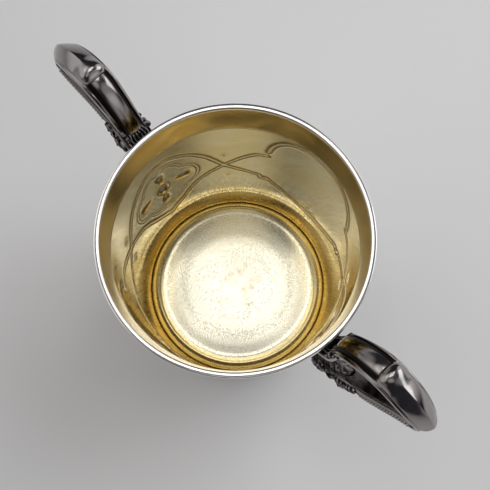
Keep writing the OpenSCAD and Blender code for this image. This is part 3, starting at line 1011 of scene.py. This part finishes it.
def strap_section():
    """Section of the strap: a half-round bar that follows a quarter circle to three quarters of the
    half-width, a narrow sunk channel on each flank and a thin raised edge. Its colour is blackened from the
    flank of the bar outward: tarnish in the channel, painted shade on the bar's flank and the edge's inner
    slope. Returns sideways and lift shares, and how dark each point is."""
    turn = np.linspace(0, np.pi / 2, 12)
    bar = 0.76
    y = np.concatenate([bar * np.sin(turn), [0.80, 0.86, 0.90, 0.95, 1.0, 1.0]])
    rise = np.concatenate([0.24 + 0.76 * np.cos(turn), [0.20, 0.24, 0.44, 0.46, 0.38, 0]])
    # Painted shade on the flank of the bar, tarnish in the channel.
    dark = np.concatenate([0.9 * smooth((np.sin(turn) - 0.45) / 0.4), [1, 1, 0.3, 0, 0, 0]])
    across = np.concatenate([y[::-1], -y[1:], [-0.4, 0.4]])
    lift = np.concatenate([rise[::-1], rise[1:], [0, 0]])
    return across, lift, np.concatenate([dark[::-1], dark[1:], [0, 0]])


class SUGARBOWL_OT_thumb_rests(bpy.types.Operator):
    """Builds the thumb rests: a round nose that sharpens into a ridge with two long facets"""

    bl_idname = "sugarbowl.thumb_rests"
    bl_label = "Thumb rests"

    def execute(self, context):
        k = HandlePaths()
        path = even(k.crown_path, 160)
        t = along(path) / along(path)[-1]
        nose = np.minimum(dome_end(t, 0.13), dome_end(1 - t, 0.10))[:, None]
        swell = 1 + 0.22 * np.exp(-(((t - 0.12) / 0.10) ** 2))[:, None]
        plan = np.minimum(round_end(t, 0.11), round_end(1 - t, 0.12))[:, None]
        w = k.cover_half_width(path[:, 0])[:, None] * plan
        a = np.linspace(0, np.pi, 57)
        y = np.cos(a)
        # The crown's power falls from a full round at the nose to a ridge, then rises again at the tip
        power = (2.3 - 1.12 * smooth((t - 0.08) / 0.22) + 0.5 * smooth((t - 0.86) / 0.12))[:, None]
        crown = (1 - np.abs(y) ** power) ** (1 / power)
        ones = np.ones_like(t)[:, None]
        # A low ledge along both edges, the crown between them and a flat back
        across = np.concatenate([
            ones * [1.0, 1.0, 0.965], ones * y * 0.94, ones * [-0.965, -1.0, -1.0, -0.4, 0.4],
        ], 1)
        lift = np.concatenate([
            ones * [0.0, 0.17, 0.20], 0.20 + 0.80 * crown, ones * [0.20, 0.17, 0.0, 0.0, 0.0],
        ], 1)
        # Black in the two corners between the ledges and the crown
        dark = np.zeros(across.shape)
        dark[:, [3, 2 + len(a)]] = 0.7

        def build(name, side):
            rings = swept(path, w * across, k.h.rest * swell * nose * lift - 0.25 * mm, side)
            make_piece(f"{name}_thumb_rest_piece", skin(rings), cast_silver(), [f"{name}_thumb_rest"],
                       24, {"hollow": dark.ravel()})

        both_sides(build)
        return {"FINISHED"}


class SUGARBOWL_OT_legs(bpy.types.Operator):
    """Builds the legs: a bar with a sunk panel on its upper face and a railed channel on each side"""

    bl_idname = "sugarbowl.legs"
    bl_label = "Legs"

    def execute(self, context):
        k = HandlePaths()
        straight = np.stack([k.leg_start + k.leg_dir * 0.9 * mm, k.knee])
        path = even(np.vstack([even(straight, 40), k.bend[1:]]), 200)
        half_w, half_t = k.h.leg_width / 2, k.h.leg / 2
        t = along(path) / along(path)[-1]
        # Right half of the section, from the middle of the lower face round to the middle of the upper face
        y = np.array([
            0, 2.0, 4.1, 4.55, 4.8, 4.8, 4.62, 4.25, 4.2, 4.25,
            4.62, 4.8, 4.8, 4.55, 4.15, 3.75, 3.45, 3.2, 1.6, 0,
        ]) / 4.8
        u = np.array([
            -2, -2, -2, -1.9, -1.65, -1.3, -1.12, -0.95, 0, 0.95,
            1.12, 1.3, 1.65, 1.9, 2, 2, 1.75, 1.35, 1.3, 1.25,
        ]) / 2
        sunk = np.array([0, 0, 0, 0, 0, 0, 0.4, 1, 1, 1, 0.4, 0, 0, 0, 0, 0.1, 0.5, 0.6, 0, 0])
        y = np.concatenate([y, -y[-2:0:-1]])
        u = np.concatenate([u, u[-2:0:-1]])
        sunk = np.concatenate([sunk, sunk[-2:0:-1]])
        # The sunk panels fade to a plain rounded bar at the tip and at the bend
        panelled = (smooth(t / 0.05) * smooth((0.66 - t) / 0.06))[:, None]
        across = half_w * (y * panelled + np.sign(y) * np.abs(y) ** 0.8 * (1 - panelled))
        lift = half_t * (u * panelled + np.sign(u) * np.abs(u) ** 0.45 * (1 - panelled))
        # Tarnish in the side channels and along the edges of the upper panel, and painted shade of about a
        # third over the whole bend by the wall.
        dark = sunk[None] * panelled + 0.35 * smooth((t - 0.62) / 0.1)[:, None]
        # A little smaller at the end that runs into the arm, so that no corner stands out
        end = 0.72 + 0.28 * dome_end(t, 0.04)[:, None]

        def build(name, side):
            rings = swept(path, across * end, -lift * end, side)
            shade = np.broadcast_to(dark, rings.shape[:2]).ravel()
            make_piece(f"{name}_leg_piece", skin(rings), cast_silver(), [f"{name}_handle_leg"],
                       38, {"hollow": shade})

        both_sides(build)
        return {"FINISHED"}


def dome(m, n, radius, flatten=1.0):
    """A small ball of n rings and m points to a ring, as rings from pole to pole."""
    v = np.linspace(0.12, np.pi - 0.12, n)[:, None]
    a = 2 * np.pi * np.arange(m)[None] / m
    ball = np.broadcast_arrays(np.sin(v) * np.cos(a), np.sin(v) * np.sin(a), flatten * np.cos(v))
    return radius * np.stack(ball, -1)


class SUGARBOWL_OT_beads(bpy.types.Operator):
    """Builds the rows of small beads that sit in the channels on both sides of each leg"""

    bl_idname = "sugarbowl.beads"
    bl_label = "Beads"

    def execute(self, context):
        k = HandlePaths()
        run = np.linalg.norm(k.leg_start - k.knee)
        first = k.h.leg * 0.72
        count = int((run - first) / k.h.bead_pitch) + 1
        one = dome(12, 7, k.h.bead_pitch * 0.50) * [1, 1.3, 1.25]

        def build(name, side):
            for face, hand in FACES.items():
                middle = k.leg_start - k.leg_dir * (first + k.h.bead_pitch * np.arange(count))[:, None]
                at = place(middle[:, 0], middle[:, 1], hand * (k.h.leg_width / 2 - 0.25 * mm), side)
                body = joined([skin(one + c) for c in at])
                make_piece(f"{name}_{face}_beads_piece", body, cast_silver(), [f"{name}_{face}_beads"],
                           60, {"hollow": np.zeros(len(body[0]))})

        both_sides(build)
        return {"FINISHED"}


def spiral(centre, size, turns, start, hand, n=56):
    """A flat spiral: its radius shrinks evenly from size to a sixth of it while it turns."""
    t = np.linspace(0, 1, n)
    r = size * (1 - 0.84 * t**0.85)
    a = start + hand * turns * 2 * np.pi * t
    return np.stack([centre[0] + r * np.cos(a), centre[1] + r * np.sin(a)], 1), t


def volute(centre, size, turns, start, hand, y, side, wire, flat=1.3):
    """A scroll of wire in the handle's plane, thick at its outer end and closed by a ball at its heart."""
    flat_path, t = spiral(centre, size, turns, start, hand)
    ball = 0.9 * np.exp(-(((t - 1) / 0.05) ** 2))
    radii = wire * (1.05 - 0.4 * t + ball) * np.minimum(dome_end(t, 0.08), 1)
    return tube(place(flat_path[:, 0], flat_path[:, 1], y, side), radii, (0, 1, 0), 12, flat)


def leaflet(base, turn, size, y, hand, side, curl=0.35):
    """A pointed leaf in the handle's plane that swells and curls outward: its width follows a sine of its
    length."""
    t = np.linspace(0, 1, 18)[:, None]
    a = np.linspace(0, 2 * np.pi, 15)[None, :-1]
    w = size * 0.30 * np.sin(np.pi * (0.08 + 0.90 * t)) ** 0.8
    bent = curl * size * t * t
    c, s = math.cos(turn), math.sin(turn)
    u, v = size * t, bent + w * np.cos(a)
    thick = 0.55 * w * np.sin(a) + 0.12 * size * t
    rib = 0.16 * w * np.cos(3 * a) * np.sin(a)
    return skin(place(base[0] + c * u - s * v, base[1] + s * u + c * v, y + hand * (thick + rib), side))


class SUGARBOWL_OT_scrolls(bpy.types.Operator):
    """Builds the openwork scrolls and leaves on both sides of the bend of each leg"""

    bl_idname = "sugarbowl.scrolls"
    bl_label = "Side scrolls"

    def execute(self, context):
        k = HandlePaths()
        big = k.h.scroll / 2
        normal = normals_2d(k.bend)

        def at(part, off):
            i = int(round(part * (len(k.bend) - 1)))
            return k.bend[i] - normal[i] * off

        def build(name, side):
            for face, hand in FACES.items():
                y = hand * (k.h.leg_width / 2 + 0.65 * mm)
                parts = [
                    volute(at(0.12, 1.0 * mm), big * 0.62, 1.35, 0.6, 1, y, side, 0.62 * mm),
                    volute(at(0.40, -1.0 * mm), big * 0.86, 1.5, 3.6, -1, y, side, 0.72 * mm),
                    volute(at(0.74, 1.2 * mm), big * 0.98, 1.6, 1.2, 1, y, side, 0.80 * mm),
                ]
                for part, off, turn, size in (
                    (0.24, -2.0, 2.3, 4.0), (0.26, 2.4, -1.1, 3.8), (0.55, 2.6, -2.2, 4.4),
                    (0.58, -2.6, 2.0, 4.4), (0.86, -2.4, 1.5, 4.2), (0.90, 2.6, -2.6, 3.8),
                ):
                    parts.append(leaflet(at(part, off * mm), turn, size * mm, y, hand, side))
                body = joined(parts)
                # Painted light and shade in bands over the scrolls and leaflets.
                shade = carved(body[0])
                make_piece(f"{name}_{face}_scrolls_piece", body, cast_silver(), [f"{name}_{face}_scrolls"],
                           60, {"hollow": shade})

        both_sides(build)
        return {"FINISHED"}


class SUGARBOWL_OT_leaves(bpy.types.Operator):
    """Builds the veined leaf that lies on the upper face of each leg's bend"""

    bl_idname = "sugarbowl.leaves"
    bl_label = "Leaves"

    def execute(self, context):
        k = HandlePaths()
        path = even(k.bend[16:50], 90)[::-1]
        t = (along(path) / along(path)[-1])[:, None]
        v = np.linspace(-1, 1, 41)[None]
        lobes = 0.80 + 0.20 * np.abs(np.cos(np.pi * 5 * t)) ** 0.7
        w = (k.h.leg_width / 2 - 0.9 * mm) * lobes * np.sqrt(1 - 0.94 * t**3)
        crown = k.h.leaf * (0.35 + 0.65 * (1 - np.abs(v) ** 1.8)) * np.sqrt(1 - 0.9 * t**4)
        vein = np.abs(np.sin(np.pi * (5 * t - 1.1 * np.abs(v)))) ** 0.5
        rib = np.exp(-((v / 0.10) ** 2))
        top = crown - 0.34 * mm * (1 - vein) * np.abs(v) + 0.30 * mm * rib
        across = np.concatenate([w * v, w * v[:, ::-1]], 1)
        lift = np.concatenate([top, np.full_like(top, -0.2 * mm)], 1)
        # Tarnish in the vein grooves, and painted shade over the whole leaf: a quarter dark everywhere, added
        # to the veins.
        dark = np.concatenate([(1 - vein) * (0.3 + 0.7 * np.abs(v)) + 0.25, np.zeros_like(top)], 1)
        half_t = k.h.leg / 2

        def build(name, side):
            rings = swept(path, across, half_t + lift, side)
            make_piece(f"{name}_leaf_piece", skin(rings), cast_silver(), [f"{name}_leaf"],
                       60, {"hollow": dark.ravel()})

        both_sides(build)
        return {"FINISHED"}


class SUGARBOWL_OT_palmettes(bpy.types.Operator):
    """Builds the fluted palmettes that cover the root of each arm, with a rolled outer end and side wings"""

    bl_idname = "sugarbowl.palmettes"
    bl_label = "Palmettes"

    def execute(self, context):
        k = HandlePaths()
        path = even(np.vstack([k.root_path[7:], k.rise_path[1:3]]), 70)
        t = (along(path) / along(path)[-1])[:, None]
        m = 57
        v = np.linspace(-1, 1, m)[None]
        n = k.h.flutes
        fan = k.h.strap_width / 2 * (0.92 + 0.25 * np.sin(np.pi * t))
        flute = np.abs(np.cos(np.pi * n * (v / 2 + 0.5))) ** 0.7
        roll = 1 + 0.25 * np.exp(-(((t - 0.80) / 0.10) ** 2)) - 0.85 * smooth((t - 0.84) / 0.16)
        top = mm * (0.45 + 1.05 * flute * (1 - 0.4 * v * v)) * roll
        across = np.concatenate([fan * v, fan * v[:, ::-1]], 1)
        lift = np.concatenate([top, np.full_like(top, -0.3 * mm)], 1)
        # Tarnish in the grooves between the flutes, and painted shade of about a third even on their crests.
        fluted = np.broadcast_to(np.clip(1.35 - flute * 1.05, 0, 1), top.shape)
        dark = np.concatenate([fluted, np.zeros_like(top)], 1)

        def build(name, side):
            rings = swept(path, across, lift, side)
            body = joined([skin(rings)] + wings(side))
            # Painted light and shade in bands over the wings; the palmette itself takes the flute colouring
            # set just below.
            shade = carved(body[0])
            shade[: dark.size] = dark.ravel()
            make_piece(f"{name}_palmette_piece", body, cast_silver(), [f"{name}_palmette"],
                       50, {"hollow": shade})

        both_sides(build)
        return {"FINISHED"}


def wings(side):
    """Small scrolls at the two edges of the arm beside the end of the strap, lying along the arm."""
    parts = []
    for hand in FACES.values():
        for out, up, y, size, start, turns in (
            (2.8, -1.4, 4.6, 1.6, 0.4, 1.2),
            (3.9, 1.6, 5.0, 1.5, 2.4, 1.3),
            (5.2, 4.4, 4.6, 1.3, 4.2, 1.1),
        ):
            flat_path, t = spiral((up * mm, y * mm), size * mm, turns, start, 1, 40)
            points = place(out * mm, flat_path[:, 0], hand * flat_path[:, 1], side)
            points[:, 0] += side * 0.25 * (flat_path[:, 0] - up * mm)
            ball = 0.8 * np.exp(-(((t - 1) / 0.06) ** 2))
            radii = 0.55 * mm * (1.05 - 0.4 * t + ball) * dome_end(t, 0.1)
            parts.append(tube(points, radii, (1, 0, 0), 10, 1.2))
    return parts


class SUGARBOWL_OT_sockets(bpy.types.Operator):
    """Builds the fluted shells under the arms and the bosses where the legs meet the wall"""

    bl_idname = "sugarbowl.sockets"
    bl_label = "Sockets"

    def execute(self, context):
        k = HandlePaths()
        h = k.h
        shell_w = (h.strap_width + 1.6 * mm) / 2
        shell_h = k.b.lip_height * 0.55
        n = h.flutes
        t = np.linspace(0, 1, 40)[:, None]
        v = np.linspace(-1, 1, 57)[None]
        flute = np.abs(np.cos(np.pi * n * (v / 2 + 0.5))) ** 0.7
        drop = shell_h * (1 - 0.3 * v * v)
        down = k.root[1] - 1.2 * mm - drop * t
        wall_x = np.vectorize(k.outside)(down)
        round_down = 0.5 + 1.5 * np.sqrt(np.clip(1 - t**2, 0, 1))
        bulge = round_down * mm * (0.45 + 0.55 * flute) * (1 - 0.35 * v * v)
        fluted = np.broadcast_to(np.clip(1.1 - flute, 0, 1), bulge.shape)
        dark = np.concatenate([fluted, np.zeros_like(bulge)], 1)

        def shell(side):
            front = place(wall_x + bulge, down, shell_w * v * (1 - 0.25 * t), side)
            back = place(wall_x - 0.5 * mm, down, shell_w * v * (1 - 0.25 * t), side)[:, ::-1]
            return np.concatenate([front, back], 1)

        boss_w, boss_h = (h.leg_width + 2.4 * mm) / 2, (h.leg + 6.5 * mm) / 2
        a = 2 * np.pi * np.arange(72)[None] / 72
        r = np.linspace(1, 0.02, 26)[:, None]
        petals = 1 + 0.05 * np.cos(12 * a)
        cy = boss_w * r * petals * np.sign(np.cos(a)) * np.abs(np.cos(a)) ** 0.75
        cz = boss_h * r * petals * np.sign(np.sin(a)) * np.abs(np.sin(a)) ** 0.75
        rise = 2.0 * mm * np.sqrt(np.clip(1 - r**3, 0, 1)) * (1 + 0.12 * np.cos(12 * a) * r)
        heights = -h.leg_drop + cz
        base = np.vectorize(k.outside)(heights)
        boss_dark = np.clip(0.5 - 0.5 * np.cos(12 * a), 0, 1) * r * 0.8

        def build(name, side):
            rings = shell(side)
            make_piece(f"{name}_upper_socket_piece", skin(rings), cast_silver(), [f"{name}_upper_socket"],
                       50, {"hollow": dark.ravel()})
            rim = place(base[:1] - 0.6 * mm, heights[:1], cy[:1], side)
            rings = np.concatenate([rim, place(base + rise, heights, cy, side)])
            shade = np.concatenate([np.zeros((1, 72)), boss_dark])
            make_piece(f"{name}_lower_socket_piece", skin(rings), cast_silver(), [f"{name}_lower_socket"],
                       50, {"hollow": shade.ravel()})

        both_sides(build)
        return {"FINISHED"}


# ---- Stage ----


def area_light(name, place_at, aim, size, power, tint, mirrored=True):
    """A soft rectangular lamp. One that isn't mirrored lights the table but is not seen in the metal."""
    light = bpy.data.lights.new(name, "AREA")
    light.shape = "RECTANGLE"
    light.size, light.size_y = size
    light.energy = power
    light.color = tint
    lamp = bpy.data.objects.new(name, light)
    lamp.location = place_at
    lamp.visible_camera = False
    lamp.visible_glossy = mirrored
    lamp.rotation_euler = (Vector(aim) - Vector(place_at)).to_track_quat("-Z", "Y").to_euler()
    bpy.context.scene.collection.objects.link(lamp)
    return lamp


# The room as the metal sees it: soft bright patches as (direction right, away, up), half-angle and strength
ROOM_PATCHES = (
    ((0.78, 0.50, 0.40), 38, (0.95, 0.93, 0.92)),
    ((-0.85, 0.05, 0.52), 44, (0.80, 0.78, 0.76)),
    ((0.70, -0.47, 0.54), 32, (0.42, 0.41, 0.40)),
    ((0.72, -0.69, 0.08), 34, (0.45, 0.44, 0.43)),
    ((-0.72, 0.69, 0.08), 28, (0.32, 0.31, 0.30)),
    ((-0.50, 0.42, 0.76), 20, (0.75, 0.73, 0.70)),
    ((-0.58, -0.79, 0.18), 24, (0.30, 0.25, 0.23)),
    ((0.0, 0.10, 1.0), 42, (0.11, 0.11, 0.107)),
    ((0.0, -0.45, 0.89), 20, (0.50, 0.49, 0.46)),
)
ROOM_DARK = (0.035, 0.035, 0.042)


def room(right, away, top):
    """A dim room: a dark world with soft patches, each rising as the sight line nears its direction."""
    world = bpy.data.worlds.new("room")
    world.use_nodes = True
    tree = world.node_tree
    sight = tree.nodes.new("ShaderNodeTexCoord").outputs["Generated"]
    shade = None
    for (r, a, t), spread, tint in ROOM_PATCHES:
        toward = (right * r + away * a + top * t).normalized()
        dot = tree.nodes.new("ShaderNodeVectorMath")
        dot.operation = "DOT_PRODUCT"
        tree.links.new(sight, dot.inputs[0])
        dot.inputs[1].default_value = toward
        ramp = tree.nodes.new("ShaderNodeMapRange")
        ramp.interpolation_type = "SMOOTHSTEP"
        tree.links.new(dot.outputs["Value"], ramp.inputs["Value"])
        ramp.inputs["From Min"].default_value = math.cos(math.radians(spread))
        ramp.inputs["From Max"].default_value = math.cos(math.radians(spread * 0.35))
        add = tree.nodes.new("ShaderNodeMix")
        add.data_type, add.blend_type = "RGBA", "ADD"
        tree.links.new(ramp.outputs["Result"], add.inputs["Factor"])
        if shade is None:
            add.inputs["A"].default_value = (*ROOM_DARK, 1)
        else:
            tree.links.new(shade, add.inputs["A"])
        add.inputs["B"].default_value = (*tint, 1)
        shade = add.outputs["Result"]
    tree.links.new(shade, tree.nodes["Background"].inputs["Color"])
    return world


class SUGARBOWL_OT_stage(bpy.types.Operator):
    """Sets the pale table, the soft light and the camera above the bowl"""

    bl_idname = "sugarbowl.stage"
    bl_label = "Stage"

    def execute(self, context):
        st = sizes()[3]
        scene = context.scene
        scene.view_settings.view_transform = "Standard"
        n = Nodes("table_top")
        shade = n.mix(n.noise(3, 2), rgba(st.table_shade), rgba([c * 0.97 for c in st.table_shade]))
        n.put(n.shader.inputs["Base Color"], shade)
        n.shader.inputs["Roughness"].default_value = 0.6
        half = 4.0
        corners = [(-half, -half, 0), (half, -half, 0), (half, half, 0), (-half, half, 0)]
        mesh = bpy.data.meshes.new("table_top")
        mesh.from_pydata(corners, [], [(0, 1, 2, 3)])
        mesh.materials.append(n.material)
        table = bpy.data.objects.new("table_top", mesh)
        scene.collection.objects.link(table)

        back = Vector((
            math.sin(st.turn) * math.cos(st.lift), -math.cos(st.turn) * math.cos(st.lift), math.sin(st.lift)
        ))
        aim = Vector((st.aside, 0, BOWL_H))
        data = bpy.data.cameras.new("camera")
        data.sensor_width = 36
        data.lens = st.lens
        data.clip_start = 0.01
        camera = bpy.data.objects.new("camera", data)
        camera.location = aim + back * st.distance
        camera.rotation_euler = (-back).to_track_quat("-Z", "Y").to_euler()
        scene.collection.objects.link(camera)
        scene.camera = camera

        right = Vector((math.cos(st.turn), math.sin(st.turn), 0))
        away = Vector((-math.sin(st.turn), math.cos(st.turn), 0))
        top = Vector((0, 0, 1))
        area_light("overhead", away * 0.13 + top * 0.64, (0, 0, 0.05), (0.25, 0.28), 0.44, (1, 0.985, 0.96))
        window_at = right * 1.1 + away * 0.2 + top * 0.75
        area_light("window", window_at, (0, 0, 0), (0.7, 0.7), 2.4, (0.95, 0.98, 1))
        lamp_at = right * 0.75 + away * 0.65 + top * 1.15
        area_light("table_lamp", lamp_at, (0, 0, 0), (0.9, 0.9), 5.6, (0.97, 0.985, 1), mirrored=False)
        # A grey card under the overhead lamp, which the bottom mirrors as a soft dark block; it glows
        # faintly, painted light that keeps its reflection a dim grey
        grey = Nodes("grey_card")
        grey.put(grey.shader.inputs["Base Color"], (0.2, 0.19, 0.18, 1))
        grey.put(grey.shader.inputs["Emission Color"], (0.25, 0.235, 0.215, 1))
        grey.put(grey.shader.inputs["Emission Strength"], 1.0)
        card = bpy.data.meshes.new("light_card")
        corners = [(-0.035, 0.150), (0.042, 0.150), (0.042, 0.32), (-0.035, 0.32)]
        card.from_pydata([right * r + away * a + top * 0.625 for r, a in corners], [], [(0, 1, 2, 3)])
        card.materials.append(grey.material)
        flag = bpy.data.objects.new("light_card", card)
        scene.collection.objects.link(flag)
        scene.world = room(right, away, top)
        return {"FINISHED"}


# ---- Panel and registration ----

STEPS_IN_ORDER = (
    SUGARBOWL_OT_wall, SUGARBOWL_OT_rim, SUGARBOWL_OT_bottom, SUGARBOWL_OT_foot, SUGARBOWL_OT_arms,
    SUGARBOWL_OT_straps, SUGARBOWL_OT_thumb_rests, SUGARBOWL_OT_legs, SUGARBOWL_OT_beads,
    SUGARBOWL_OT_scrolls, SUGARBOWL_OT_leaves, SUGARBOWL_OT_palmettes, SUGARBOWL_OT_sockets,
    SUGARBOWL_OT_stage,
)


class SUGARBOWL_PT_panel(bpy.types.Panel):
    """Lists the sizes and the steps"""

    bl_idname = "SUGARBOWL_PT_panel"
    bl_label = "Sugar Bowl"
    bl_space_type = "VIEW_3D"
    bl_region_type = "UI"
    bl_category = "Sugar Bowl"

    def draw(self, context):
        for group in sizes():
            box = self.layout.box()
            for key in group.__annotations__:
                box.prop(group, key)
        for step in STEPS_IN_ORDER:
            self.layout.operator(step.bl_idname)


GROUPS = {
    "sugar_bowl": BowlSizes,
    "sugar_handle": HandleSizes,
    "sugar_finish": Finishes,
    "sugar_stage": StageSizes,
}


def register():
    for key, group in GROUPS.items():
        bpy.utils.register_class(group)
        setattr(bpy.types.Scene, key, PointerProperty(type=group))
    for cls in (*STEPS_IN_ORDER, SUGARBOWL_PT_panel):
        bpy.utils.register_class(cls)


def unregister():
    for cls in (*STEPS_IN_ORDER, SUGARBOWL_PT_panel):
        bpy.utils.unregister_class(cls)
    for key, group in GROUPS.items():
        delattr(bpy.types.Scene, key)
        bpy.utils.unregister_class(group)


def main():
    register()
    for step in STEPS_IN_ORDER:
        group, name = step.bl_idname.split(".")
        getattr(getattr(bpy.ops, group), name)()


if __name__ == "__main__":
    main()
